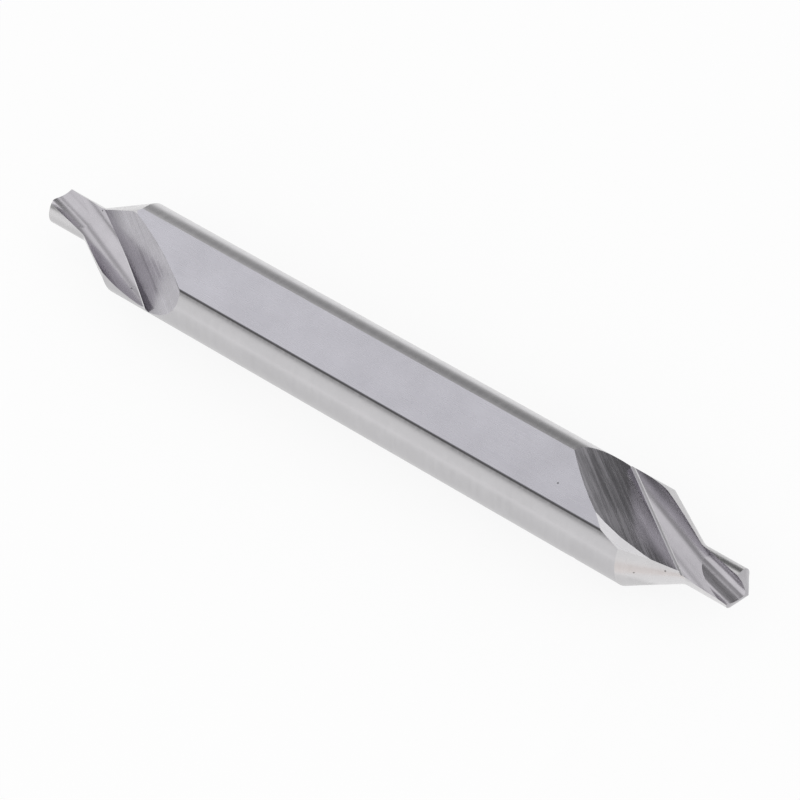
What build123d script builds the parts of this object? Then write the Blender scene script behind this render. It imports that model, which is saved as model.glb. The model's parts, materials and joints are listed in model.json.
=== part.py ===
from build123d import *
import os
from math import atan, cos, radians, sin, tan

# Double-ended centre drill, ground from one bar of high-speed steel.
# The drill's axis is X and its middle is the origin. The clamping flat faces +Z.
# Angles called "turn" go round the axis, from +Z towards +Y.

# Blank
LENGTH = 100.0
BODY_DIAMETER = 12.0
FLAT_HEIGHT = 5.08
PILOT_DIAMETER = 5.0
TIP_LENGTH = 13.0
COUNTERSINK_ANGLE = 60.0
POINT_ANGLE = 118.0
CORNER_RADIUS = 1.5

# Lands: each falls away behind its cutting edge, because it is ground off centre
LAND_ECCENTRICITY = 0.25
LAND_CENTRE_TURN = 10.0
LAND_SPLIT_TURN = -5.0
CUTTING_EDGE_TURN = 46.0

# Gash: the steep face on the heel side, left by the side of a large wheel
WHEEL_RADIUS = 50.0
GASH_SLANT = 34.4
GASH_FLANK_ANGLE = 38.3
GASH_WIDTH = 9.0
GASH_BEHIND_CONE = 2.72
GASH_OFFSET = 3.66
WEB_HALF = 0.557

# Heel: the back corner of each land is rounded over, more and more towards the shank
HEEL_RADIUS = 1.5
HEEL_SLANT = 4.3
HEEL_DIP = 16.9
HEEL_OFFSET = -3.63
HEEL_HEIGHT = 2.82
HEEL_TURN = 35.0
HEEL_BEHIND_CONE = 5.0
HEEL_PAST_CONE = 6.0

# Rake groove: the round-bottomed groove that makes the cutting edges of the cone
GROOVE_RADIUS = 2.8
GROOVE_SLANT = 20.66
GROOVE_DIP = 1.26
GROOVE_OFFSET = 0.61
GROOVE_HEIGHT = 3.42
GROOVE_PAST_CONE = 3.0

# Pilot groove: a smaller round groove that deepens towards the point
PILOT_GROOVE_RADIUS = 1.9
PILOT_GROOVE_SLANT = 13.2
PILOT_GROOVE_DIP = 8.0
PILOT_GROOVE_OFFSET = -0.78
PILOT_GROOVE_HEIGHT = 2.285
PILOT_GROOVE_PAST_CONE = 9.0
PILOT_GROOVE_REACH = 6.0

# Point: two conical flanks, each ground off centre, that meet in a chisel edge
POINT_ECCENTRICITY = 0.3
CHISEL_TURN = 0.0

# The two ends were ground apart, so their flutes aren't quite alike: the end at -X is
# turned on from the other, and its flutes lie a little nearer the shank
SECOND_END_TURN = 13.0
SECOND_END_FLUTE_SHIFT = 0.3
FLUTES = 2

NODE = "centre_drill"

body_radius = BODY_DIAMETER / 2
pilot_radius = PILOT_DIAMETER / 2
half_length = LENGTH / 2
cone_base = half_length - TIP_LENGTH
cone_slope = tan(radians(COUNTERSINK_ANGLE / 2))
spare = 2.0
onward = (Align.CENTER, Align.CENTER, Align.MIN)


def turned(shape, turn):
    """The shape turned about the drill's axis, from +Z towards +Y."""
    return Rot(X=-turn) * shape


def slanted(slant, dip):
    """Unit vector along a groove that drifts to -Y and -Z on its way to the tip."""
    return Vector(1, -tan(radians(slant)), -tan(radians(dip))).normalized()


def round_groove(radius, direction, middle, reach):
    """What a wheel with a round edge takes out: a half-round bottom that is open outwards."""
    bottom = Cylinder(radius, 2 * reach)
    above = Box(BODY_DIAMETER, 2 * radius, 2 * reach, align=(Align.MIN, Align.CENTER, Align.CENTER))
    return Plane(origin=middle, x_dir=(0, 0, 1), z_dir=direction) * (bottom + above)


def half_room(start_x, split_turn):
    """A block past start_x, on one side of a plane through the axis."""
    room = 2 * (body_radius + spare)
    block = Pos(X=start_x) * Box(LENGTH, room, room, align=(Align.MIN, Align.MIN, Align.CENTER))
    return turned(block, split_turn)


def land_profile():
    """Half outline of one land's envelope: cone, rounded corner and pilot."""
    at_edge = LAND_ECCENTRICITY * cos(radians(CUTTING_EDGE_TURN - LAND_CENTRE_TURN))
    inner = pilot_radius - at_edge
    outer = body_radius + spare
    corner_x = cone_base + (body_radius - pilot_radius) / cone_slope
    start_x = cone_base - (spare + at_edge) / cone_slope
    blend = CORNER_RADIUS * tan(radians(COUNTERSINK_ANGLE / 4))
    cone_end = (corner_x - blend * cos(atan(cone_slope)), inner + blend * sin(atan(cone_slope)))
    pilot_start = (corner_x + blend, inner)
    far = half_length + spare
    lines = Line((start_x, outer), cone_end)
    lines += JernArc(cone_end, (1, -cone_slope), CORNER_RADIUS, COUNTERSINK_ANGLE / 2)
    lines += Polyline(pilot_start, (far, inner), (far, 0), (start_x, 0), (start_x, outer))
    return make_face(lines)


def land_waste():
    """What is ground off round one land: a half ring outside its off-centre envelope."""
    envelope = revolve(land_profile(), Axis.X, 360)
    envelope = turned(Pos(Z=LAND_ECCENTRICITY) * envelope, LAND_CENTRE_TURN)
    return half_room(envelope.bounding_box().min.X, LAND_SPLIT_TURN) - envelope


def gash():
    """The side of the large wheel, and the plane of its edge."""
    along = Vector(cos(radians(GASH_SLANT)), -sin(radians(GASH_SLANT)), 0)
    across = Vector(sin(radians(GASH_SLANT)), cos(radians(GASH_SLANT)), 0)
    root = Vector(cone_base - GASH_BEHIND_CONE, GASH_OFFSET, WEB_HALF)
    hub = root + Vector(0, 0, WHEEL_RADIUS)
    small_radius = WHEEL_RADIUS - GASH_WIDTH * tan(radians(GASH_FLANK_ANGLE))
    wheel = Cone(WHEEL_RADIUS, small_radius, GASH_WIDTH, align=onward)
    return Plane(origin=hub, x_dir=along, z_dir=-across) * wheel, Plane(origin=root, x_dir=along, z_dir=across)


def heel_waste():
    """What is ground off over the rounded heel of the land behind a flute."""
    middle = Vector(cone_base, HEEL_OFFSET, HEEL_HEIGHT)
    towards_flute = Vector(0, sin(radians(HEEL_TURN)), cos(radians(HEEL_TURN)))
    corner = Plane(origin=middle, x_dir=towards_flute, z_dir=slanted(HEEL_SLANT, HEEL_DIP))
    length = HEEL_BEHIND_CONE + HEEL_PAST_CONE
    outside = Box(BODY_DIAMETER, BODY_DIAMETER, length, align=(Align.MIN, Align.MIN, Align.MIN))
    rounded = Cylinder(HEEL_RADIUS, length, align=onward)
    return corner * Pos(Z=-HEEL_BEHIND_CONE) * (outside - rounded)


def flute():
    """One flute: the gash, the rake groove, the pilot groove and the rounded heel."""
    wheel, edge = gash()
    middle = Vector(cone_base + GROOVE_PAST_CONE, GROOVE_OFFSET, GROOVE_HEIGHT)
    groove = round_groove(GROOVE_RADIUS, slanted(GROOVE_SLANT, GROOVE_DIP), middle, LENGTH / 4)
    groove = groove & (edge * Box(LENGTH, LENGTH, LENGTH / 2, align=onward))
    middle = Vector(cone_base + PILOT_GROOVE_PAST_CONE, PILOT_GROOVE_OFFSET, PILOT_GROOVE_HEIGHT)
    pilot_way = slanted(PILOT_GROOVE_SLANT, PILOT_GROOVE_DIP)
    pilot_groove = round_groove(PILOT_GROOVE_RADIUS, pilot_way, middle, PILOT_GROOVE_REACH)
    return [wheel, groove, pilot_groove, heel_waste()]


def point_waste():
    """What is ground off over one flank of the point."""
    height = TIP_LENGTH
    apex_x = half_length + POINT_ECCENTRICITY / tan(radians(POINT_ANGLE / 2))
    flank = Cone(height * tan(radians(POINT_ANGLE / 2)), 0, height, align=(Align.CENTER, Align.CENTER, Align.MAX))
    flank = Pos(X=apex_x, Y=-POINT_ECCENTRICITY) * (Rot(Y=90) * flank)
    room = half_room(half_length - TIP_LENGTH / 2, 0)
    return turned(room - flank, CHISEL_TURN)


def end_waste(flute_shift):
    """Everything that is ground off the end at +X, with its flutes moved towards the shank."""
    cutters = [land_waste(), point_waste()]
    cutters += [Pos(X=-flute_shift) * cutter for cutter in flute()]
    step = 360 / FLUTES
    return [turned(cutter, step * count) for count in range(FLUTES) for cutter in cutters]


def centre_drill():
    """The whole drill: bar, flat and the two ground ends."""
    bar = Plane.YZ * Cylinder(body_radius, LENGTH + spare)
    over_flat = Box(2 * LENGTH, BODY_DIAMETER, BODY_DIAMETER, align=onward)
    drill = bar - Pos(Z=FLAT_HEIGHT) * over_flat
    for cutter in end_waste(0):
        drill = drill - cutter
    for cutter in end_waste(SECOND_END_FLUTE_SHIFT):
        drill = drill - Rot(Z=180) * turned(cutter, SECOND_END_TURN)
    return drill.clean()


os.makedirs("parts", exist_ok=True)
drill = centre_drill()
drill.label = NODE
export_step(drill, f"parts/{NODE}.step")
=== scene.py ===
"""A double-ended centre drill of ground high-speed steel, lying on a white table.

The visible drill is the CAD solid with two heels ground flat. Each face is told apart by the
surface that the wheel left there, which gives it its true normals, its finish and its grinding
lines.
"""

import json
import logging
from dataclasses import dataclass, field
from enum import Enum
from math import cos, radians, sin, tan

import bmesh
import bpy
import numpy as np
from mathutils import Matrix, Vector

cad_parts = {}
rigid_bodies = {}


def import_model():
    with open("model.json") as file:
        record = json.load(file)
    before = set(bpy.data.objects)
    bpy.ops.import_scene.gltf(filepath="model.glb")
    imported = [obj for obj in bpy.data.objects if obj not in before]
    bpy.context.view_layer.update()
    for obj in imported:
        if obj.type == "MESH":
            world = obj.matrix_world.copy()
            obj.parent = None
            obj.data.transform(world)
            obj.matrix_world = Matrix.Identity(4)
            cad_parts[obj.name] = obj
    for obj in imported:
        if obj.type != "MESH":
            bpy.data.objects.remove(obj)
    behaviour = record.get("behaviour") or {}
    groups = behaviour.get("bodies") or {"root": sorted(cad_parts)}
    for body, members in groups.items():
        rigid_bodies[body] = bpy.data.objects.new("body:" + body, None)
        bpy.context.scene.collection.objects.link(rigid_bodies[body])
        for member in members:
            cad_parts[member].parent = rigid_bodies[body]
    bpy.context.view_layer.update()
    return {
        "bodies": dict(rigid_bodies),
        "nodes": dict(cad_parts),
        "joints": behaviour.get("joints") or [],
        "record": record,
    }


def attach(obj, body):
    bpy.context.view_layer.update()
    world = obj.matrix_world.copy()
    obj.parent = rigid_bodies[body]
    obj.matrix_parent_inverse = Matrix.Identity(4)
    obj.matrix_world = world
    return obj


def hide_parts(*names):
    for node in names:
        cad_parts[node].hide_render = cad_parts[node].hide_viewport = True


LOG = logging.getLogger("centre_drill")
MM = 0.001

# The drill's main sizes, in millimetres and degrees. Its axis is X and its flat faces +Z.
BODY_RADIUS = 6.0
FLAT_HEIGHT = 5.08
PILOT_RADIUS = 2.5
HALF_LENGTH = 50.0
TIP_LENGTH = 13.0
CONE_HALF_ANGLE = 30.0
CONE_BASE = HALF_LENGTH - TIP_LENGTH
CONE_SLOPE = tan(radians(CONE_HALF_ANGLE))

# The ledge between the rake groove and the root, painted pale as a highlight, and a distance that
# is past any such mark
LEDGE_WIDTH = 0.20
FAR = 1000.0

# How far a point is moved to find a normal, in millimetres, and the length that counts as none
NUDGE = 1e-3
NOTHING = 1e-12

# The two distances that the "root" map holds
STEEL_FROM_ROOT = "X"
LIP_FROM_ROOT = "Y"

# Where each mark starts and ends its fade, as shares of its width
PAINTED_EDGE_FADE = (0.35, 1.0)
PAINTED_ROOT_FADE = (0.1, 1.0)
LIP_FADE = (0.8, 1.0)
LEDGE_SHADE_FADE = (0.8, 1.0)
LEDGE_LINE_FADE = (1.25, 1.6)
RIM_FADE = (0.4, 1.0)

# How dark each mark is, as a share of the steel's own colour; the line along the flat's edge and
# the band by the root are painted shade
PAINTED_EDGE_SHADE = 0.28
PAINTED_ROOT_SHADE = 0.79
RIM_SHADE = 0.4
PIT_SHADE = 0.35

# The ledges along the root: their colours, a painted highlight on the lip and on the ledge's line
# and painted shade on the ledge's floor, and the way they face on the upper flutes
LIP_HIGHLIGHT_COLOUR = (0.62, 0.61, 0.64)
LEDGE_HIGHLIGHT_COLOUR = (0.76, 0.75, 0.77)
LEDGE_SHADE_COLOUR = (0.47, 0.46, 0.48)
LEDGE_FACING = (0.08, 0.04, 0.996)

# Clouds and pits in the steel, each per metre, the share of places without a pit, and a pit's size
CLOUD_PITCH = 240.0
PIT_PITCH = 330.0
PIT_CHANCE = 0.45
PIT_FADE = (0.025, 0.05)

# How many finer layers the clouds and the grinding lines have, and how strong each next layer is
CLOUD_DETAIL = 3.0
GRAIN_DETAIL = 4.0
LAYER_STRENGTH = 0.6

# The values between which a noise does its work, and those at which the rim's line breaks off
NOISE_SPAN = (0.3, 0.7)
RIM_BREAKS = (0.62, 0.48)


class Grind(Enum):
    """The kinds of ground face on the drill, in the order of its material slots."""

    SHANK = 0
    FLAT = 1
    GASH = 2
    GROOVE = 3
    LAND = 4
    POINT = 5
    HEEL = 6


@dataclass(frozen=True)
class End:
    """Where one flute or land sits on the drill.

    Attributes:
        reversed: True at the end towards -X.
        turn: How far it is turned round the axis, in degrees, from +Z towards +Y.
        shift: How far it lies nearer the shank, in millimetres.
    """

    reversed: bool
    turn: float
    shift: float

    def local(self, points: np.ndarray) -> np.ndarray:
        """Brings points of the drill into the frame of an unturned flute at the +X end.

        Args:
            points: Points in millimetres, with the coordinates last.

        Returns:
            The same points in the flute's own frame.
        """
        x, y, z = points[..., 0], points[..., 1], points[..., 2]
        if self.reversed:
            x, y = -x, -y
        a = radians(self.turn)
        return np.stack([x + self.shift, y * cos(a) - z * sin(a), y * sin(a) + z * cos(a)], -1)


def slanted(slant: float, dip: float) -> np.ndarray:
    """Unit vector along a groove that drifts to -Y and -Z on its way to the tip."""
    way = np.array([1.0, -tan(radians(slant)), -tan(radians(dip))])
    return way / np.linalg.norm(way)


@dataclass(frozen=True)
class Surface:
    """One ground surface. Subclasses say how far a point lies from it and how it was ground.

    Attributes:
        grind: What kind of face it leaves.
        end: Where it sits on the drill.
    """

    grind: Grind
    end: End

    def gap(self, q: np.ndarray) -> np.ndarray:
        """Signed distance of local points from the surface, in millimetres."""
        raise NotImplementedError

    def lines(self, q: np.ndarray) -> tuple[np.ndarray, np.ndarray]:
        """Distance along and across the grinding lines at local points, in millimetres."""
        raise NotImplementedError

    def marks(self, q: np.ndarray) -> tuple[np.ndarray, np.ndarray]:
        """Two distances from the flute's root, in millimetres; FAR where there is no such mark."""
        none = np.full(q.shape[:-1], FAR)
        return none, none

    def distance(self, points: np.ndarray) -> np.ndarray:
        """Signed distance of points of the drill from the surface, in millimetres."""
        return self.gap(self.end.local(points))

    def normal(self, points: np.ndarray) -> np.ndarray:
        """Finds the surface's normals from how the distance changes.

        Args:
            points: Points of the drill, in millimetres.

        Returns:
            A unit normal for each point.
        """
        slopes = []
        for axis in range(3):
            nudge = np.zeros(3)
            nudge[axis] = NUDGE
            slopes.append(self.distance(points + nudge) - self.distance(points - nudge))
        normals = np.stack(slopes, -1)
        return normals / np.maximum(np.linalg.norm(normals, axis=-1, keepdims=True), NOTHING)


def round_about(y: np.ndarray, z: np.ndarray) -> np.ndarray:
    """Finds the angle round an axis, kept in one run over each row of corners.

    Args:
        y: How far each corner lies from the axis, one way.
        z: How far it lies from the axis, the other way.

    Returns:
        The angles, in radians.
    """
    angle = np.arctan2(y, z)
    first = angle[..., :1]
    return first + (angle - first + np.pi) % (2 * np.pi) - np.pi


@dataclass(frozen=True)
class ShankRound(Surface):
    """The round of the shank, ground round and round."""

    def gap(self, q: np.ndarray) -> np.ndarray:
        """Distance from the cylinder."""
        return np.hypot(q[..., 1], q[..., 2]) - BODY_RADIUS

    def lines(self, q: np.ndarray) -> tuple[np.ndarray, np.ndarray]:
        """Lines run round the shank."""
        return BODY_RADIUS * round_about(q[..., 1], q[..., 2]), q[..., 0]


@dataclass(frozen=True)
class ClampingFlat(Surface):
    """The flat along the shank, ground lengthwise."""

    def gap(self, q: np.ndarray) -> np.ndarray:
        """Height above the flat."""
        return q[..., 2] - FLAT_HEIGHT

    def lines(self, q: np.ndarray) -> tuple[np.ndarray, np.ndarray]:
        """Lines run along the shank."""
        return q[..., 0], q[..., 1]


@dataclass(frozen=True)
class WheelSide(Surface):
    """The steep face that the side of a large wheel leaves.

    Attributes:
        radius: The wheel's radius, in millimetres.
        slant: The angle of the wheel's plane from the axis, in degrees.
        flank: The angle of its side, in degrees.
        root: The lowest point of its rim.
    """

    radius: float = 50.0
    slant: float = 34.4
    flank: float = 38.3
    root: tuple[float, float, float] = (CONE_BASE - 2.72, 3.66, 0.557)

    def polar(self, q: np.ndarray) -> tuple[np.ndarray, np.ndarray, np.ndarray]:
        """Places points round the wheel.

        Args:
            q: Local points, in millimetres.

        Returns:
            The angle round the wheel, the distance from its hub and the distance along its spindle.
        """
        along = np.array([cos(radians(self.slant)), -sin(radians(self.slant)), 0.0])
        across = np.array([sin(radians(self.slant)), cos(radians(self.slant)), 0.0])
        r = q - np.array(self.root) - np.array([0.0, 0.0, self.radius])
        return np.arctan2(r @ along, -r[..., 2]), np.hypot(r @ along, r[..., 2]), r @ across

    def gap(self, q: np.ndarray) -> np.ndarray:
        """Finds how far points lie from the wheel's side.

        Args:
            q: Local points, in millimetres.

        Returns:
            The signed distances, in millimetres.
        """
        _, spread, aside = self.polar(q)
        slope = tan(radians(self.flank))
        return (spread - self.radius - slope * aside) / np.hypot(1.0, slope)

    def lines(self, q: np.ndarray) -> tuple[np.ndarray, np.ndarray]:
        """Lines run round the wheel's hub, and the second distance starts at the root."""
        angle, spread, _ = self.polar(q)
        return self.radius * angle, (self.radius - spread) / sin(radians(self.flank))

    def marks(self, q: np.ndarray) -> tuple[np.ndarray, np.ndarray]:
        """Marks the painted shade by the root at the end at -X, and a thin lip there at +X.

        Args:
            q: Local points, in millimetres.

        Returns:
            The distances for the steel and for the lip, in millimetres.
        """
        away = self.lines(q)[1]
        none = np.full(away.shape, FAR)
        return (away, none) if self.end.reversed else (none, away)


@dataclass(frozen=True)
class WheelFace(WheelSide):
    """The narrow upright step along the root, left by the wheel's edge."""

    def gap(self, q: np.ndarray) -> np.ndarray:
        """Distance from the plane of the wheel's edge."""
        return self.polar(q)[2]

    def marks(self, q: np.ndarray) -> tuple[np.ndarray, np.ndarray]:
        """The step itself has no marks."""
        return Surface.marks(self, q)


@dataclass(frozen=True)
class RoundGroove(Surface):
    """A groove or roll with a round section along a straight line.

    Attributes:
        radius: The radius of the section, in millimetres.
        slant: How far it drifts to -Y on its way to the tip, in degrees.
        dip: How far it drifts to -Z on its way to the tip, in degrees.
        middle: A point of its axis.
        walls: True if straight walls go on upwards from the round bottom.
    """

    radius: float
    slant: float
    dip: float
    middle: tuple[float, float, float]
    walls: bool = True

    def parts(self, q: np.ndarray) -> tuple[np.ndarray, np.ndarray]:
        """Places points along the groove.

        Args:
            q: Local points, in millimetres.

        Returns:
            The distance along the axis, and the offset from it.
        """
        way = slanted(self.slant, self.dip)
        r = q - np.array(self.middle)
        along = r @ way
        return along, r - along[..., None] * way

    def gap(self, q: np.ndarray) -> np.ndarray:
        """Finds how far points lie from the round section and its walls.

        Args:
            q: Local points, in millimetres.

        Returns:
            The signed distances, in millimetres.
        """
        way = slanted(self.slant, self.dip)
        up = np.array([0.0, 0.0, 1.0]) - way[2] * way
        up /= np.linalg.norm(up)
        off = self.parts(q)[1]
        height = off @ up
        if self.walls:
            height = np.minimum(height, 0.0)
        return np.hypot(height, off @ np.cross(way, up)) - self.radius

    def lines(self, q: np.ndarray) -> tuple[np.ndarray, np.ndarray]:
        """Lines run along the groove."""
        along, off = self.parts(q)
        return along, self.radius * round_about(off[..., 1], off[..., 2])


@dataclass(frozen=True)
class RakeGroove(RoundGroove):
    """The large round groove beside the root, with a ledge where it meets the gash that is painted
    pale as a highlight.

    Attributes:
        band: Width of the plain pale band, a painted highlight, at the end at -X, where it starts,
            in millimetres.
        band_start: How far past the cone's base the band starts, in millimetres.
        band_length: How far the band goes on getting wider, in millimetres.
        spread: How much wider the band gets for each millimetre towards the shank.
    """

    radius: float = 2.8
    slant: float = 20.66
    dip: float = 1.26
    middle: tuple[float, float, float] = (CONE_BASE + 3.0, 0.61, 3.42)
    band: float = 0.12
    band_start: float = 6.0
    band_length: float = 10.0
    spread: float = 0.045

    def marks(self, q: np.ndarray) -> tuple[np.ndarray, np.ndarray]:
        """Marks the ledge's two lines at +X, and at -X one band that widens towards the shank.

        Args:
            q: Local points, in millimetres.

        Returns:
            The distances for the steel and for the lip, in millimetres.
        """
        away = np.abs(WheelFace(self.grind, self.end).gap(q))
        if self.end.reversed:
            behind = np.clip(CONE_BASE + self.band_start - q[..., 0], 0.0, self.band_length)
            reach = (LEDGE_LINE_FADE[1] - 1.0) * away / (self.band + self.spread * behind)
            away = LEDGE_WIDTH * (1.0 + reach)
        return away, np.full(away.shape, FAR)


@dataclass(frozen=True)
class PilotGroove(RoundGroove):
    """The smaller round groove that deepens through the pilot."""

    radius: float = 1.9
    slant: float = 13.2
    dip: float = 8.0
    middle: tuple[float, float, float] = (CONE_BASE + 9.0, -0.78, 2.285)


@dataclass(frozen=True)
class HeelRound(RoundGroove):
    """The rounded heel of the land behind a flute."""

    radius: float = 1.5
    slant: float = 4.3
    dip: float = 16.9
    middle: tuple[float, float, float] = (CONE_BASE, -3.63, 2.82)
    walls: bool = False


@dataclass(frozen=True)
class LandEnvelope(Surface):
    """The relieved cone and pilot of one land, ground off centre.

    Attributes:
        eccentricity: How far off centre, in millimetres.
        towards: The turn of the centre, in degrees.
        edge: The turn of the cutting edge, in degrees.
        corner: The radius between cone and pilot, in millimetres.
    """

    eccentricity: float = 0.25
    towards: float = 10.0
    edge: float = 46.0
    corner: float = 1.5

    def profile(self, x: np.ndarray) -> np.ndarray:
        """Finds the envelope's radius.

        Args:
            x: Places along the axis, in millimetres.

        Returns:
            The radius at each place, in millimetres.
        """
        inner = PILOT_RADIUS - self.eccentricity * cos(radians(self.edge - self.towards))
        corner_x = CONE_BASE + (BODY_RADIUS - PILOT_RADIUS) / CONE_SLOPE
        blend = self.corner * tan(radians(CONE_HALF_ANGLE / 2))
        start, stop = corner_x - blend * cos(radians(CONE_HALF_ANGLE)), corner_x + blend
        into = np.clip(stop - x, 0.0, stop - start)
        bend = inner + self.corner - np.sqrt(self.corner**2 - into**2)
        return np.where(x < start, inner + (corner_x - x) * CONE_SLOPE, bend)

    def offset(self, q: np.ndarray) -> tuple[np.ndarray, np.ndarray]:
        """Place across the axis, from the envelope's own centre."""
        a = radians(self.towards)
        return q[..., 1] - self.eccentricity * sin(a), q[..., 2] - self.eccentricity * cos(a)

    def gap(self, q: np.ndarray) -> np.ndarray:
        """Distance from the envelope."""
        return np.hypot(*self.offset(q)) - self.profile(q[..., 0])

    def lines(self, q: np.ndarray) -> tuple[np.ndarray, np.ndarray]:
        """Lines run round the cone and the pilot."""
        return self.profile(q[..., 0]) * round_about(*self.offset(q)), q[..., 0]


@dataclass(frozen=True)
class PointFlank(Surface):
    """One off-centre conical flank of the point.

    Attributes:
        eccentricity: How far off centre, in millimetres.
        half_angle: Half of the point's angle, in degrees.
    """

    eccentricity: float = 0.3
    half_angle: float = 59.0

    def gap(self, q: np.ndarray) -> np.ndarray:
        """Finds how far points lie from the cone.

        Args:
            q: Local points, in millimetres.

        Returns:
            The signed distances, in millimetres.
        """
        slope = tan(radians(self.half_angle))
        spread = np.hypot(q[..., 1] + self.eccentricity, q[..., 2])
        behind = HALF_LENGTH + self.eccentricity / slope - q[..., 0]
        return (spread - behind * slope) * cos(radians(self.half_angle))

    def lines(self, q: np.ndarray) -> tuple[np.ndarray, np.ndarray]:
        """Lines run from the rim towards the chisel edge."""
        return q[..., 2], q[..., 1] + q[..., 0]


@dataclass(frozen=True)
class GroundSteel:
    """One ground finish of high-speed steel, with its grinding lines.

    Attributes:
        name: The material's name.
        colour: The metal's colour, linear.
        roughness: The mean roughness.
        lines: How far the grinding lines change the roughness.
        pitch: Grinding lines per metre.
        stretch: How much longer than wide a grinding line is.
        bump: Height of the grinding lines, in metres.
        blotch: How far slow changes over the face change its colour.
        draw: How far the highlight is drawn out across the lines.
        painted_edge_line: Half width of the dark line painted along the flat's edge at -Y, painted
            shade that stands in for the dark reflection in the edge's small rounding, in metres; 0
            for none.
        lip: Width of the narrow ledge along the root, whose pale colour is a painted highlight, in
            metres; 0 for none.
        ledge: Width of the ledge between the groove and the root, with a painted highlight along
            its line and painted shade on its floor, in metres; 0 for none.
        painted_root_shade: How wide the painted shade in the crease along the root is, in metres; 0
            for none.
        rim: Width of the dull broken line along the flat, in metres; 0 for none.
    """

    name: str
    colour: tuple[float, float, float]
    roughness: float
    lines: float
    pitch: float
    stretch: float
    bump: float
    blotch: float
    draw: float = 0.3
    painted_edge_line: float = 0.0
    lip: float = 0.0
    ledge: float = 0.0
    painted_root_shade: float = 0.0
    rim: float = 0.0

    def make(self) -> bpy.types.Material:
        """Builds the finish as a procedural material.

        Returns:
            The new material.
        """
        material = bpy.data.materials.new(self.name)
        material.use_nodes = True
        tree = material.node_tree
        shader = tree.nodes["Principled BSDF"]
        shader.inputs["Metallic"].default_value = 1.0
        shader.inputs["Anisotropic"].default_value = self.draw
        ground = tree.nodes.new("ShaderNodeUVMap")
        ground.uv_map = "grinding"
        squeeze = tree.nodes.new("ShaderNodeMapping")
        squeeze.inputs["Scale"].default_value = (1.0 / self.stretch, 1.0, 1.0)
        tree.links.new(ground.outputs["UV"], squeeze.inputs["Vector"])
        place = tree.nodes.new("ShaderNodeTexCoord")
        grain = self.noise(tree, squeeze.outputs["Vector"], self.pitch, GRAIN_DETAIL)
        slow = self.noise(tree, place.outputs["Object"], CLOUD_PITCH, CLOUD_DETAIL)
        self.tint(tree, slow, grain, shader)
        self.polish(tree, grain, shader)
        self.relief(tree, grain, shader)
        along = tree.nodes.new("ShaderNodeTangent")
        along.direction_type = "UV_MAP"
        along.uv_map = "grinding"
        tree.links.new(along.outputs["Tangent"], shader.inputs["Tangent"])
        return material

    @staticmethod
    def noise(
        tree: bpy.types.NodeTree, vector: bpy.types.NodeSocket, scale: float, detail: float
    ) -> bpy.types.NodeSocket:
        """Adds a noise.

        Args:
            tree: The material's nodes.
            vector: Where the noise is read.
            scale: How fine it is, per metre.
            detail: How many finer layers it has.

        Returns:
            The socket of the noise's value.
        """
        texture = tree.nodes.new("ShaderNodeTexNoise")
        texture.inputs["Scale"].default_value = scale
        texture.inputs["Detail"].default_value = detail
        texture.inputs["Roughness"].default_value = LAYER_STRENGTH
        tree.links.new(vector, texture.inputs["Vector"])
        return texture.outputs["Fac"]

    def shaded(self, share: float) -> tuple[float, float, float]:
        """The steel's own colour, darker or lighter by a share."""
        red, green, blue = (min(1.0, part * share) for part in self.colour)
        return red, green, blue

    def tint(
        self,
        tree: bpy.types.NodeTree,
        slow: bpy.types.NodeSocket,
        grain: bpy.types.NodeSocket,
        shader: bpy.types.Node,
    ) -> None:
        """Colours the steel: its own colour with slow clouds and faint lines, and its marks. The
        line along the flat's edge, the band by the root and the ledge's floor are painted shade;
        the lip and the ledge's line are painted highlights.

        Args:
            tree: The material's nodes.
            slow: The noise of the clouds.
            grain: The noise of the grinding lines.
            shader: The material's shader.
        """
        mixed = tree.nodes.new("ShaderNodeMix")
        mixed.data_type = "FLOAT"
        mixed.inputs["Factor"].default_value = 0.5
        tree.links.new(slow, mixed.inputs["A"])
        tree.links.new(grain, mixed.inputs["B"])
        ramp = tree.nodes.new("ShaderNodeValToRGB")
        low, high = ramp.color_ramp.elements
        low.position, high.position = NOISE_SPAN
        low.color = self.shaded(1.0 - self.blotch) + (1.0,)
        high.color = self.shaded(1.0 + self.blotch) + (1.0,)
        tree.links.new(mixed.outputs["Result"], ramp.inputs["Fac"])
        colour = ramp.outputs["Color"]
        # Painted shade: a dark line along the flat's edge at -Y, for the dark reflection in its
        # small rounding
        if self.painted_edge_line:
            colour = self.over(tree, colour, self.near_edge(tree), self.shaded(PAINTED_EDGE_SHADE))
        # Painted shade: the steel darkens towards the crease along the root
        if self.painted_root_shade:
            near = self.near_root(tree, STEEL_FROM_ROOT, self.painted_root_shade, PAINTED_ROOT_FADE)
            colour = self.over(tree, colour, near, self.shaded(PAINTED_ROOT_SHADE))
        # Painted highlight: the lip along the root is paler than the gash
        if self.lip:
            near = self.near_root(tree, LIP_FROM_ROOT, self.lip, LIP_FADE)
            colour = self.over(tree, colour, near, LIP_HIGHLIGHT_COLOUR)
        # Painted highlight on the ledge's line, then painted shade on its floor
        if self.ledge:
            near = self.near_root(tree, STEEL_FROM_ROOT, self.ledge, LEDGE_LINE_FADE)
            colour = self.over(tree, colour, near, LEDGE_HIGHLIGHT_COLOUR)
            near = self.near_root(tree, STEEL_FROM_ROOT, self.ledge, LEDGE_SHADE_FADE)
            colour = self.over(tree, colour, near, LEDGE_SHADE_COLOUR)
        if self.rim:
            near = self.near_flat(tree, grain)
            colour = self.over(tree, colour, near, self.shaded(RIM_SHADE))
        colour = self.over(tree, colour, self.pits(tree), self.shaded(PIT_SHADE))
        tree.links.new(colour, shader.inputs["Base Color"])

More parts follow.
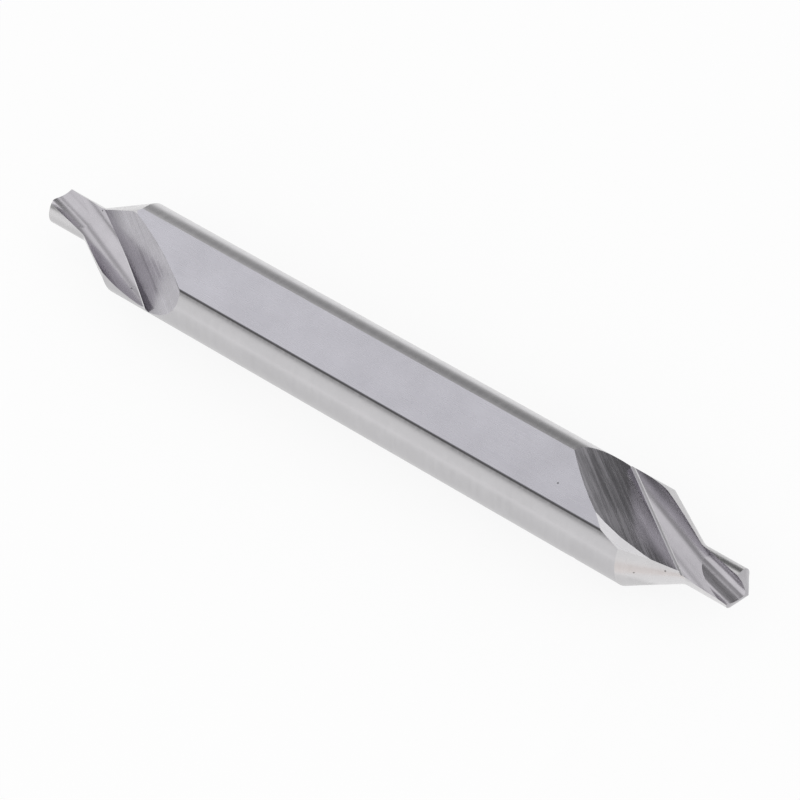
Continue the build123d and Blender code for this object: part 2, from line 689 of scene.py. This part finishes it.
    def pits(self, tree: bpy.types.NodeTree) -> bpy.types.NodeSocket:
        """Scatters a few tiny dark pits.

        Args:
            tree: The material's nodes.

        Returns:
            A socket that is 1 in a pit.
        """
        place = tree.nodes.new("ShaderNodeTexCoord")
        cells = tree.nodes.new("ShaderNodeTexVoronoi")
        cells.inputs["Scale"].default_value = PIT_PITCH
        tree.links.new(place.outputs["Object"], cells.inputs["Vector"])
        chance = tree.nodes.new("ShaderNodeSeparateColor")
        tree.links.new(cells.outputs["Color"], chance.inputs["Color"])
        chosen = self.maths(tree, "GREATER_THAN", chance.outputs["Red"], PIT_CHANCE)
        pit = self.fade(tree, cells.outputs["Distance"], *PIT_FADE)
        return self.maths(tree, "MULTIPLY", chosen, pit)

    @staticmethod
    def maths(
        tree: bpy.types.NodeTree,
        operation: str,
        first: bpy.types.NodeSocket | float,
        second: bpy.types.NodeSocket | float,
    ) -> bpy.types.NodeSocket:
        """Works out one sum.

        Args:
            tree: The material's nodes.
            operation: The kind of sum.
            first: Its first value, or the socket that gives it.
            second: Its second value, or the socket that gives it.

        Returns:
            The socket of the result.
        """
        node = tree.nodes.new("ShaderNodeMath")
        node.operation = operation
        for value, entry in zip((first, second), node.inputs):
            if isinstance(value, float):
                entry.default_value = value
            else:
                tree.links.new(value, entry)
        return node.outputs["Value"]

    @staticmethod
    def over(
        tree: bpy.types.NodeTree,
        under: bpy.types.NodeSocket,
        share: bpy.types.NodeSocket,
        colour: tuple[float, float, float],
    ) -> bpy.types.NodeSocket:
        """Lays one colour over another.

        Args:
            tree: The material's nodes.
            under: The socket of the colour beneath.
            share: The socket of how far the new colour covers it.
            colour: The new colour, linear.

        Returns:
            The socket of the mixed colour.
        """
        mix = tree.nodes.new("ShaderNodeMix")
        mix.data_type = "RGBA"
        tree.links.new(share, mix.inputs["Factor"])
        tree.links.new(under, mix.inputs[6])
        mix.inputs[7].default_value = colour + (1.0,)
        return mix.outputs[2]

    @staticmethod
    def fade(
        tree: bpy.types.NodeTree, value: bpy.types.NodeSocket, start: float, stop: float
    ) -> bpy.types.NodeSocket:
        """Falls smoothly from 1 to 0.

        Args:
            tree: The material's nodes.
            value: The socket of the value that it follows.
            start: The value at which it is 1.
            stop: The value at which it is 0.

        Returns:
            The socket of the result.
        """
        fall = tree.nodes.new("ShaderNodeMapRange")
        fall.interpolation_type = "SMOOTHSTEP"
        fall.inputs["From Min"].default_value = start
        fall.inputs["From Max"].default_value = stop
        fall.inputs["To Min"].default_value = 1.0
        fall.inputs["To Max"].default_value = 0.0
        tree.links.new(value, fall.inputs["Value"])
        return fall.outputs["Result"]

    @staticmethod
    def spot(tree: bpy.types.NodeTree) -> bpy.types.Node:
        """Splits a point's place on the drill, in metres, into X, Y and Z.

        Args:
            tree: The material's nodes.

        Returns:
            The node with the three sockets.
        """
        place = tree.nodes.new("ShaderNodeTexCoord")
        split = tree.nodes.new("ShaderNodeSeparateXYZ")
        tree.links.new(place.outputs["Object"], split.inputs["Vector"])
        return split

    def near_edge(self, tree: bpy.types.NodeTree) -> bpy.types.NodeSocket:
        """Finds how near a point is to the flat's long edge at -Y.

        Args:
            tree: The material's nodes.

        Returns:
            A socket that is 1 at the edge.
        """
        half_width = np.sqrt(BODY_RADIUS**2 - FLAT_HEIGHT**2) * MM
        split = self.spot(tree)
        join = tree.nodes.new("ShaderNodeCombineXYZ")
        tree.links.new(split.outputs["Y"], join.inputs["Y"])
        tree.links.new(split.outputs["Z"], join.inputs["Z"])
        apart = tree.nodes.new("ShaderNodeVectorMath")
        apart.operation = "DISTANCE"
        apart.inputs[1].default_value = (0.0, -half_width, FLAT_HEIGHT * MM)
        tree.links.new(join.outputs["Vector"], apart.inputs[0])
        start, stop = PAINTED_EDGE_FADE
        return self.fade(tree, apart.outputs["Value"], start * self.painted_edge_line, stop * self.painted_edge_line)

    def near_flat(
        self, tree: bpy.types.NodeTree, grain: bpy.types.NodeSocket
    ) -> bpy.types.NodeSocket:
        """Finds how near a point is to the level of the flat, with breaks.

        Args:
            tree: The material's nodes.
            grain: The noise that makes the breaks.

        Returns:
            A socket that is 1 at the flat, where the line isn't broken.
        """
        down = self.maths(tree, "SUBTRACT", FLAT_HEIGHT * MM, self.spot(tree).outputs["Z"])
        start, stop = RIM_FADE
        near = self.fade(tree, down, start * self.rim, stop * self.rim)
        return self.maths(tree, "MULTIPLY", near, self.fade(tree, grain, *RIM_BREAKS))

    def near_root(
        self, tree: bpy.types.NodeTree, mark: str, width: float, fade: tuple[float, float]
    ) -> bpy.types.NodeSocket:
        """Finds how near a point is to the flute's root.

        Args:
            tree: The material's nodes.
            mark: Which distance of the "root" map is read.
            width: The mark's width, in metres.
            fade: Where its fade starts and ends, as shares of the width.

        Returns:
            A socket that is 1 at the root.
        """
        marks = tree.nodes.new("ShaderNodeUVMap")
        marks.uv_map = "root"
        split = tree.nodes.new("ShaderNodeSeparateXYZ")
        tree.links.new(marks.outputs["UV"], split.inputs["Vector"])
        return self.fade(tree, split.outputs[mark], fade[0] * width, fade[1] * width)

    def outward(self, tree: bpy.types.NodeTree) -> bpy.types.NodeSocket:
        """Finds the way that a ledge faces: up on the upper flutes, down on the lower ones.

        Args:
            tree: The material's nodes.

        Returns:
            The socket of the ledge's normal.
        """
        facing = tree.nodes.new("ShaderNodeNewGeometry")
        split = tree.nodes.new("ShaderNodeSeparateXYZ")
        tree.links.new(facing.outputs["Normal"], split.inputs["Vector"])
        side = tree.nodes.new("ShaderNodeMath")
        side.operation = "SIGN"
        tree.links.new(split.outputs["Z"], side.inputs[0])
        half = tree.nodes.new("ShaderNodeCombineXYZ")
        half.inputs["X"].default_value = 1.0
        tree.links.new(side.outputs["Value"], half.inputs["Y"])
        tree.links.new(side.outputs["Value"], half.inputs["Z"])
        way = tree.nodes.new("ShaderNodeVectorMath")
        way.operation = "MULTIPLY"
        way.inputs[0].default_value = LEDGE_FACING
        tree.links.new(half.outputs["Vector"], way.inputs[1])
        return way.outputs["Vector"]

    def polish(
        self, tree: bpy.types.NodeTree, grain: bpy.types.NodeSocket, shader: bpy.types.Node
    ) -> None:
        """Lets the grinding lines change the roughness.

        Args:
            tree: The material's nodes.
            grain: The noise of the grinding lines.
            shader: The material's shader.
        """
        spread = tree.nodes.new("ShaderNodeMapRange")
        spread.inputs["From Min"].default_value = NOISE_SPAN[0]
        spread.inputs["From Max"].default_value = NOISE_SPAN[1]
        spread.inputs["To Min"].default_value = self.roughness - self.lines
        spread.inputs["To Max"].default_value = self.roughness + self.lines
        tree.links.new(grain, spread.inputs["Value"])
        tree.links.new(spread.outputs["Result"], shader.inputs["Roughness"])

    def relief(
        self, tree: bpy.types.NodeTree, grain: bpy.types.NodeSocket, shader: bpy.types.Node
    ) -> None:
        """Raises the grinding lines a little, and turns the ledges along the root outwards.

        Args:
            tree: The material's nodes.
            grain: The noise of the grinding lines.
            shader: The material's shader.
        """
        bump = tree.nodes.new("ShaderNodeBump")
        bump.inputs["Strength"].default_value = 1.0
        bump.inputs["Distance"].default_value = self.bump
        tree.links.new(grain, bump.inputs["Height"])
        if self.lip:
            share = self.near_root(tree, LIP_FROM_ROOT, self.lip, LIP_FADE)
        elif self.ledge:
            share = self.near_root(tree, STEEL_FROM_ROOT, self.ledge, LEDGE_LINE_FADE)
        else:
            tree.links.new(bump.outputs["Normal"], shader.inputs["Normal"])
            return
        turned = tree.nodes.new("ShaderNodeMix")
        turned.data_type = "VECTOR"
        tree.links.new(share, turned.inputs["Factor"])
        tree.links.new(bump.outputs["Normal"], turned.inputs[4])
        tree.links.new(self.outward(tree), turned.inputs[5])
        tree.links.new(turned.outputs[1], shader.inputs["Normal"])


# The faces are all one steel: the steps in colour between them are painted light and shade, set to
# the brightness each face shows. The heel's pale colour is a painted highlight and the point's dark
# colour painted shade; roughness and grinding lines are their own.
FINISHES: dict[Grind, GroundSteel] = {
    Grind.SHANK: GroundSteel(
        name="shank_steel", colour=(0.615, 0.605, 0.62), roughness=0.20, lines=0.05,
        pitch=1400.0, stretch=5.0, bump=3e-7, blotch=0.055, painted_edge_line=0.26 * MM,
    ),
    Grind.FLAT: GroundSteel(
        name="flat_steel", colour=(0.58, 0.57, 0.62), roughness=0.27, lines=0.06,
        pitch=1800.0, stretch=10.0, bump=2.2e-7, blotch=0.08, painted_edge_line=0.16 * MM,
    ),
    Grind.GASH: GroundSteel(
        name="gash_steel", colour=(0.57, 0.555, 0.59), roughness=0.26, lines=0.10,
        pitch=1800.0, stretch=18.0, bump=1.4e-6, blotch=0.20,
        lip=0.20 * MM, painted_root_shade=3.4 * MM, rim=0.13 * MM,
    ),
    Grind.GROOVE: GroundSteel(
        name="groove_steel", colour=(0.60, 0.58, 0.615), roughness=0.22, lines=0.07,
        pitch=1800.0, stretch=16.0, bump=5e-7, blotch=0.10, ledge=LEDGE_WIDTH * MM,
    ),
    Grind.LAND: GroundSteel(
        name="land_steel", colour=(0.69, 0.68, 0.69), roughness=0.24, lines=0.05,
        pitch=1800.0, stretch=5.0, bump=4e-7, blotch=0.05,
    ),
    Grind.POINT: GroundSteel(
        name="point_painted_dark_steel", colour=(0.45, 0.44, 0.46), roughness=0.30, lines=0.08,
        pitch=1800.0, stretch=5.0, bump=8e-7, blotch=0.12,
    ),
    Grind.HEEL: GroundSteel(
        name="heel_painted_bright_steel", colour=(0.76, 0.75, 0.77), roughness=0.30, lines=0.08,
        pitch=1800.0, stretch=12.0, bump=8e-7, blotch=0.14,
    ),
}


@dataclass(frozen=True)
class HeelFacet(Surface):
    """The small facet where a second pass of the wheel has taken off a heel's corner; its
    brightness is a painted highlight in its finish.

    Attributes:
        corner: Where the facet, the gash and the land meet.
        facing: Which way the facet faces.
        start: How near the middle of the drill it may reach, in millimetres.
        stop: How near the tip it may reach, in millimetres.
        side: The Y that it stays below, in millimetres.
        floor: The Z that it stays above, in millimetres.
        slack: How far out of the facet's plane a face has to be to be lost, in metres.
        touch: How near the plane a corner is when it lies in it, in metres.
    """

    corner: tuple[float, float, float] = (37.9, -2.8, 3.6)
    facing: tuple[float, float, float] = (0.2874, 0.3268, 0.9003)
    start: float = 25.0
    stop: float = 40.0
    side: float = -0.5
    floor: float = 2.5
    slack: float = 1e-9
    touch: float = 1e-8

    def gap(self, q: np.ndarray) -> np.ndarray:
        """Distance from the facet's plane."""
        return (q - np.array(self.corner)) @ np.array(self.facing)

    def lines(self, q: np.ndarray) -> tuple[np.ndarray, np.ndarray]:
        """Lines run along the facet."""
        return q[..., 0], q[..., 1]

    def outward(self, place: tuple[float, float, float]) -> Vector:
        """Brings a point or a way of the facet's own frame into the drill's frame.

        Args:
            place: The point or the way.

        Returns:
            The same point or way in the drill's frame.
        """
        x, y, z = place
        a = radians(self.end.turn)
        return Vector((x, y * cos(a) + z * sin(a), z * cos(a) - y * sin(a)))

    def covers(self, middle: Vector) -> bool:
        """Tells whether a face is part of the heel's corner that the facet takes off.

        Args:
            middle: The face's middle, in metres.

        Returns:
            True if the face is lost.
        """
        beyond = (middle - self.outward(self.corner) * MM).dot(self.outward(self.facing))
        x, y, z = self.end.local(np.array(middle[:]) / MM)
        within = self.start < x < self.stop and y < self.side and z > self.floor
        return within and beyond > self.slack

    def cut(self, shape: bmesh.types.BMesh) -> None:
        """Takes the heel's corner off.

        Args:
            shape: The drill's mesh, in metres.
        """
        corner = self.outward(self.corner) * MM
        facing = self.outward(self.facing)
        whole = shape.verts[:] + shape.edges[:] + shape.faces[:]
        bmesh.ops.bisect_plane(
            shape, geom=whole, dist=self.touch, plane_co=corner, plane_no=facing
        )
        lost = [face for face in shape.faces if self.covers(face.calc_center_median())]
        bmesh.ops.delete(shape, geom=lost, context="FACES")
        rim = [edge for edge in shape.edges if edge.is_boundary]
        bmesh.ops.contextual_create(shape, geom=rim)


@dataclass
class CentreDrill:
    """The drill itself: the CAD solid, with true normals and a finish for each ground face.

    Attributes:
        node: The CAD node that the piece stands for.
        slot: The record's material slot; not used.
        second_turn: How far the end at -X is turned on, in degrees.
        second_shift: How far its flutes lie nearer the shank, in millimetres.
        weld: How near two corners of the CAD mesh are when they are one, in millimetres.
        lean_cost: What a face pays for leaning from a surface, in millimetres.
    """

    node: str = "centre_drill"
    slot: str = "steel"
    second_turn: float = 13.0
    second_shift: float = 0.3
    weld: float = 0.0005
    lean_cost: float = 0.1

    def surfaces(self) -> list[Surface]:
        """Lists every ground surface of the drill.

        Returns:
            The surfaces: the shank's two, those of the four flutes and the heel facets.
        """
        whole = End(False, 0.0, 0.0)
        found: list[Surface] = [ShankRound(Grind.SHANK, whole), ClampingFlat(Grind.FLAT, whole)]
        for reverse in (False, True):
            for half in (0.0, 180.0):
                turn = half + (self.second_turn if reverse else 0.0)
                flute = End(reverse, turn, self.second_shift if reverse else 0.0)
                land = End(reverse, turn, 0.0)
                found += [
                    WheelSide(Grind.GASH, flute),
                    WheelFace(Grind.GROOVE, flute),
                    RakeGroove(Grind.GROOVE, flute),
                    PilotGroove(Grind.GROOVE, flute),
                    HeelRound(Grind.LAND, flute),
                    LandEnvelope(Grind.LAND, land),
                    PointFlank(Grind.POINT, land),
                ]
        return found + list(self.facets())

    @staticmethod
    def facets() -> tuple[HeelFacet, ...]:
        """The facets on the heels of the end at +X."""
        return tuple(HeelFacet(Grind.HEEL, End(False, turn, 0.0)) for turn in (0.0, 180.0))

    def match(self, corners: np.ndarray, facing: np.ndarray) -> np.ndarray:
        """Finds the surface that each triangle belongs to.

        Args:
            corners: The corners of each triangle, in millimetres.
            facing: Each triangle's normal.

        Returns:
            The number of the surface, for each triangle.
        """
        costs = []
        for surface in self.surfaces():
            off = np.abs(surface.distance(corners)).max(axis=1)
            lean = 1.0 - np.abs((surface.normal(corners) * facing[:, None]).sum(-1)).min(axis=1)
            costs.append(off + self.lean_cost * lean)
        return np.argmin(np.array(costs), axis=0)

    def build(self, frame: dict) -> bpy.types.Object:
        """Makes the drill's visible piece from the CAD solid.


        Returns:
            The drill's object.
        """
        source = frame["nodes"][self.node]
        mesh = bpy.data.meshes.new("drill")
        shape = bmesh.new()
        shape.from_mesh(source.data)
        bmesh.ops.remove_doubles(shape, verts=shape.verts, dist=self.weld * MM)
        for facet in self.facets():
            facet.cut(shape)
        bmesh.ops.triangulate(shape, faces=shape.faces)
        bmesh.ops.recalc_face_normals(shape, faces=shape.faces)
        ragged = sum(not edge.is_manifold for edge in shape.edges)
        volume = shape.calc_volume() / MM**3
        LOG.info("%s: %d open edges, volume %.1f mm3", self.node, ragged, volume)
        shape.to_mesh(mesh)
        shape.free()
        drill = bpy.data.objects.new("ground_drill", mesh)
        bpy.context.scene.collection.objects.link(drill)
        self.dress(mesh)
        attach(drill, "root")
        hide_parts(self.node)
        return drill

    def dress(self, mesh: bpy.types.Mesh) -> None:
        """Gives each face its finish, its grinding lines and its true normals.

        Args:
            mesh: The drill's mesh, in metres.
        """
        for grind in Grind:
            mesh.materials.append(FINISHES[grind].make())
        points = np.array([vertex.co[:] for vertex in mesh.vertices]) / MM
        faces = np.array([face.vertices[:] for face in mesh.polygons])
        facing = np.array([face.normal[:] for face in mesh.polygons])
        corners = points[faces]
        owner = self.match(corners, facing)
        surfaces = self.surfaces()
        normals = np.zeros(corners.shape)
        maps = {name: np.zeros(corners.shape[:2] + (2,)) for name in ("grinding", "root")}
        for number, surface in enumerate(surfaces):
            mine = owner == number
            if not mine.any():
                continue
            true = surface.normal(corners[mine])
            out = np.sign((true * facing[mine][:, None]).sum(-1, keepdims=True))
            normals[mine] = true * np.where(out == 0.0, 1.0, out)
            local = surface.end.local(corners[mine])
            maps["grinding"][mine] = np.stack(surface.lines(local), -1) * MM
            maps["root"][mine] = np.stack(surface.marks(local), -1) * MM
        for name, values in maps.items():
            uv = mesh.uv_layers.new(name=name)
            uv.data.foreach_set("uv", values.reshape(-1).astype(np.float32))
        slots = [surfaces[number].grind.value for number in owner]
        mesh.polygons.foreach_set("material_index", slots)
        mesh.polygons.foreach_set("use_smooth", [True] * len(slots))
        mesh.normals_split_custom_set(normals.reshape(-1, 3).tolist())


def upright(left: float, right: float, back: float, low: float, high: float) -> tuple[Vector, ...]:
    """Corners of a card that stands across the drill, all in metres."""
    places = ((left, low), (right, low), (right, high), (left, high))
    return tuple(Vector((x, back, z)) for x, z in places)


def level(height: float, *places: tuple[float, float]) -> tuple[Vector, ...]:
    """Corners of a card that lies level at a height, all in metres."""
    return tuple(Vector((x, y, height)) for x, y in places)


@dataclass(frozen=True)
class Card:
    """A glowing grey card near the drill, seen only in the drill's reflections: a painted
    reflection that glows though it is no lamp and lights nothing.

    Attributes:
        name: The card's name.
        corners: Its four corners in order, in metres. The first two are its lower edge.
        shades: Places up the card, from 0 to 1, and how bright it is there; 1 is white.
        fade: How bright its right edge is, as a share of its left edge.
        tint: Its colour.
    """

    name: str
    corners: tuple[Vector, ...]
    shades: tuple[tuple[float, float], ...]
    fade: float = 1.0
    tint: tuple[float, float, float] = (1.0, 1.0, 1.0)

    def hold(self) -> bpy.types.Object:
        """Holds the card in its place.

        Returns:
            The card.
        """
        mesh = bpy.data.meshes.new(self.name)
        shape = bmesh.new()
        bmesh.ops.create_grid(shape, x_segments=1, y_segments=1, size=1.0, calc_uvs=False)
        layer = shape.loops.layers.uv.new("height")
        for vertex in shape.verts:
            right, top = vertex.co.x > 0.0, vertex.co.y > 0.0
            for loop in vertex.link_loops:
                loop[layer].uv = (float(right), float(top))
            vertex.co = self.corners[(2 if right else 3) if top else (1 if right else 0)]
        shape.to_mesh(mesh)
        shape.free()
        card = bpy.data.objects.new(self.name, mesh)
        bpy.context.scene.collection.objects.link(card)
        mesh.materials.append(self.board())
        card.visible_camera = False
        card.visible_shadow = False
        card.visible_diffuse = False
        return card

    def board(self) -> bpy.types.Material:
        """Makes the card's glowing board, a painted reflection, which changes its shade upwards and
        from left to right.

        Returns:
            The new material.
        """
        board = bpy.data.materials.new(self.name + "_painted_reflection")
        board.use_nodes = True
        tree = board.node_tree
        tree.nodes.remove(tree.nodes["Principled BSDF"])
        height = tree.nodes.new("ShaderNodeUVMap")
        height.uv_map = "height"
        split = tree.nodes.new("ShaderNodeSeparateXYZ")
        tree.links.new(height.outputs["UV"], split.inputs["Vector"])
        ramp = tree.nodes.new("ShaderNodeValToRGB")
        ramp.color_ramp.interpolation = "EASE"
        while len(ramp.color_ramp.elements) < len(self.shades):
            ramp.color_ramp.elements.new(0.5)
        for element, (place, shade) in zip(ramp.color_ramp.elements, self.shades):
            element.position = place
            element.color = tuple(shade * part for part in self.tint) + (1.0,)
        tree.links.new(split.outputs["Y"], ramp.inputs["Fac"])
        glow = tree.nodes.new("ShaderNodeEmission")
        dim = tree.nodes.new("ShaderNodeMapRange")
        dim.inputs["To Min"].default_value = 1.0
        dim.inputs["To Max"].default_value = self.fade
        tree.links.new(split.outputs["X"], dim.inputs["Value"])
        tree.links.new(dim.outputs["Result"], glow.inputs["Strength"])
        tree.links.new(ramp.outputs["Color"], glow.inputs["Color"])
        tree.links.new(glow.outputs["Emission"], tree.nodes["Material Output"].inputs["Surface"])
        return board


# Heights of the cards that lie by the drill, just over the table, in metres; in the drill's
# reflections they paint the table darker near the drill, as painted shade, and warmer in one patch
CARD_HEIGHT = -0.0058
UPPER_CARD_HEIGHT = -0.0056

CARDS = (
    Card(
        "back_card",
        upright(-0.06, 0.03, 0.020, -0.0055, 0.0135),
        ((0.0, 0.95), (0.12, 0.75), (0.22, 0.52), (0.37, 0.41),
         (0.52, 0.40), (0.63, 0.55), (0.80, 0.80), (1.0, 0.9)),
        fade=0.68,
    ),
    Card(
        "left_card",
        upright(-0.080, -0.0575, 0.0195, -0.0050, 0.0110),
        ((0.0, 0.60), (0.2, 0.15), (0.6, 0.12), (1.0, 0.5)),
    ),
    Card(
        "dark_card",
        upright(0.030, 0.075, 0.0195, -0.0050, 0.0125),
        ((0.0, 0.80), (0.12, 0.28), (0.50, 0.12), (0.78, 0.16), (0.90, 0.45), (1.0, 0.9)),
    ),
    Card(
        "high_card",
        level(0.30, (-0.50, 0.36), (0.00, 0.36)) + level(0.42, (0.00, 0.22), (-0.50, 0.22)),
        ((0.0, 0.55), (0.5, 0.5), (0.85, 0.7), (1.0, 0.9)),
    ),
    Card(
        "over_card",
        level(0.60, (-0.25, -0.40), (0.05, 0.45), (0.60, 0.45), (0.60, -0.40)),
        ((0.0, 0.9), (0.03, 0.6), (0.09, 0.25), (0.5, 0.22), (1.0, 0.22)),
        fade=0.30,
    ),
    Card(
        "pale_card",
        level(0.61, (-0.32, -0.05), (-0.32, 0.45), (0.06, 0.45), (0.06, -0.05)),
        ((0.0, 0.95), (0.25, 0.90), (1.0, 0.82)),
    ),
    Card(
        "aside_card",
        level(
            UPPER_CARD_HEIGHT,
            (-0.072, -0.012), (-0.072, -0.075), (-0.160, -0.075), (-0.160, -0.012),
        ),
        ((0.0, 0.97), (0.09, 0.97), (0.17, 0.62), (0.28, 0.56), (1.0, 0.54)),
    ),
    Card(
        "behind_card",
        level(CARD_HEIGHT, (0.030, 0.008), (0.056, 0.008), (0.056, 0.0185), (0.030, 0.0185)),
        ((0.0, 0.78), (0.6, 0.78), (1.0, 0.9)),
    ),
    Card(
        "front_card",
        level(0.60, (-0.85, -0.27), (0.60, -0.27), (0.60, -1.15), (-0.85, -1.15)),
        ((0.0, 0.9), (0.08, 0.7), (0.20, 0.40), (0.75, 0.35), (1.0, 0.9)),
    ),
    Card(
        "near_card",
        level(CARD_HEIGHT, (-0.14, -0.004), (0.040, -0.004), (0.040, -0.090), (-0.14, -0.090)),
        ((0.0, 0.78), (0.25, 0.84), (1.0, 0.97)),
    ),
    Card(
        "warm_card",
        level(CARD_HEIGHT, (0.040, -0.016), (0.070, -0.016), (0.095, -0.070), (0.060, -0.070)),
        ((0.0, 0.95), (0.3, 0.84), (0.7, 0.84), (1.0, 0.95)),
        tint=(1.0, 0.94, 0.91),
    ),
)


@dataclass
class Studio:
    """The table, the room's light, the lamp, the cards and the camera.

    Attributes:
        table_height: The table's top, in metres.
        table_size: Side of the table, in metres.
        paper_shade: The colour of the table's paper.
        paper_roughness: How dull the paper is.
        paper_glow: How much of the paper is seen as plain white, whatever light falls on it.
        room_light: How strong the light from all round is.
        lamp_way: From the drill towards the lamp.
        lamp_distance: How far away the lamp is, in metres.
        lamp_size: The lamp's width and height, in metres.
        lamp_glow: How bright the lamp looks; 1 is white.
        camera_place: Where the camera stands, in metres.
        camera_way: The way in which it looks.
        camera_up: The photograph's upward direction.
        sensor: The width of the camera's sensor, in millimetres.
        lens: Its focal length, in millimetres.
        sight: The nearest and the farthest that it sees, in metres.
    """

    table_height: float = -BODY_RADIUS * MM
    table_size: float = 6.0
    paper_shade: float = 0.95
    paper_roughness: float = 0.9
    paper_glow: float = 0.85
    room_light: float = 0.9
    lamp_way: Vector = field(default_factory=lambda: Vector((0.5, 0.45, 0.74)))
    lamp_distance: float = 0.9
    lamp_size: tuple[float, float] = (0.5, 0.5)
    lamp_glow: float = 0.5
    camera_place: Vector = field(default_factory=lambda: Vector((146.05, -82.40, 309.96)) * MM)
    camera_way: Vector = field(default_factory=lambda: Vector((-0.40760, 0.23383, -0.88273)))
    camera_up: Vector = field(default_factory=lambda: Vector((-0.45047, 0.78937, 0.41710)))
    sensor: float = 36.0
    lens: float = 138.66
    sight: tuple[float, float] = (0.01, 20.0)

    def table(self) -> bpy.types.Object:
        """Makes the white table.

        Returns:
            The table.
        """
        mesh = bpy.data.meshes.new("table")
        shape = bmesh.new()
        bmesh.ops.create_grid(shape, x_segments=1, y_segments=1, size=self.table_size / 2)
        bmesh.ops.translate(shape, verts=shape.verts, vec=(0.0, 0.0, self.table_height))
        shape.to_mesh(mesh)
        shape.free()
        table = bpy.data.objects.new("table", mesh)
        bpy.context.scene.collection.objects.link(table)
        mesh.materials.append(self.paper())
        return table

    def paper(self) -> bpy.types.Material:
        """Makes white paper that is seen as white and keeps a soft shadow.

        Returns:
            The new material.
        """
        paper = bpy.data.materials.new("paper")
        paper.use_nodes = True
        tree = paper.node_tree
        shader = tree.nodes["Principled BSDF"]
        shader.inputs["Base Color"].default_value = (self.paper_shade,) * 3 + (1.0,)
        shader.inputs["Roughness"].default_value = self.paper_roughness
        glow = tree.nodes.new("ShaderNodeEmission")
        glow.inputs["Strength"].default_value = 1.0
        path = tree.nodes.new("ShaderNodeLightPath")
        seen = path.outputs["Is Camera Ray"]
        for ray in ("Is Glossy Ray", "Is Transmission Ray"):
            either = tree.nodes.new("ShaderNodeMath")
            either.operation = "MAXIMUM"
            tree.links.new(seen, either.inputs[0])
            tree.links.new(path.outputs[ray], either.inputs[1])
            seen = either.outputs["Value"]
        share = tree.nodes.new("ShaderNodeMath")
        share.operation = "MULTIPLY"
        share.inputs[1].default_value = self.paper_glow
        tree.links.new(seen, share.inputs[0])
        mix = tree.nodes.new("ShaderNodeMixShader")
        tree.links.new(share.outputs["Value"], mix.inputs["Fac"])
        tree.links.new(shader.outputs["BSDF"], mix.inputs[1])
        tree.links.new(glow.outputs["Emission"], mix.inputs[2])
        tree.links.new(mix.outputs["Shader"], tree.nodes["Material Output"].inputs["Surface"])
        return paper

    def room(self) -> bpy.types.World:
        """Lights the drill softly from all round, in front of white.

        Returns:
            The world.
        """
        world = bpy.data.worlds.new("room")
        world.use_nodes = True
        tree = world.node_tree
        back = tree.nodes["Background"]
        back.inputs["Color"].default_value = (1.0, 1.0, 1.0, 1.0)
        path = tree.nodes.new("ShaderNodeLightPath")
        strength = tree.nodes.new("ShaderNodeMapRange")
        strength.inputs["To Min"].default_value = self.room_light
        strength.inputs["To Max"].default_value = 1.0
        tree.links.new(path.outputs["Is Camera Ray"], strength.inputs["Value"])
        tree.links.new(strength.outputs["Result"], back.inputs["Strength"])
        bpy.context.scene.world = world
        return world

    def lamp(self) -> bpy.types.Object:
        """Adds the rectangular soft lamp, which points at the drill.

        Returns:
            The lamp.
        """
        light = bpy.data.lights.new("side_lamp", "AREA")
        light.shape = "RECTANGLE"
        light.size, light.size_y = self.lamp_size
        light.energy = self.lamp_glow * np.pi * light.size * light.size_y
        lamp = bpy.data.objects.new("side_lamp", light)
        bpy.context.scene.collection.objects.link(lamp)
        way = self.lamp_way.normalized()
        lamp.location = way * self.lamp_distance
        lamp.rotation_mode = "QUATERNION"
        lamp.rotation_quaternion = way.to_track_quat("Z", "Y")
        return lamp

    def camera(self) -> bpy.types.Object:
        """Sets up the camera at the photograph's place.

        Returns:
            The camera.
        """
        data = bpy.data.cameras.new("camera")
        data.sensor_width = self.sensor
        data.lens = self.lens
        data.clip_start, data.clip_end = self.sight
        camera = bpy.data.objects.new("camera", data)
        bpy.context.scene.collection.objects.link(camera)
        right = self.camera_way.cross(self.camera_up).normalized()
        up = right.cross(self.camera_way).normalized()
        turn = Matrix((right, up, -self.camera_way.normalized())).transposed()
        camera.matrix_world = Matrix.Translation(self.camera_place) @ turn.to_4x4()
        bpy.context.scene.camera = camera
        return camera


def main() -> None:
    """Builds the drill and the studio round it."""
    logging.basicConfig(level=logging.INFO, format="%(name)s: %(message)s")
    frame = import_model()
    drill = CentreDrill().build(frame)
    LOG.info("%s: %d faces", drill.name, len(drill.data.polygons))
    studio = Studio()
    studio.table()
    studio.room()
    studio.lamp()
    for card in CARDS:
        card.hold()
    LOG.info("%d cards stand round the drill", len(CARDS))
    studio.camera()
    bpy.context.scene.view_settings.view_transform = "Standard"


if __name__ == "__main__":
    main()
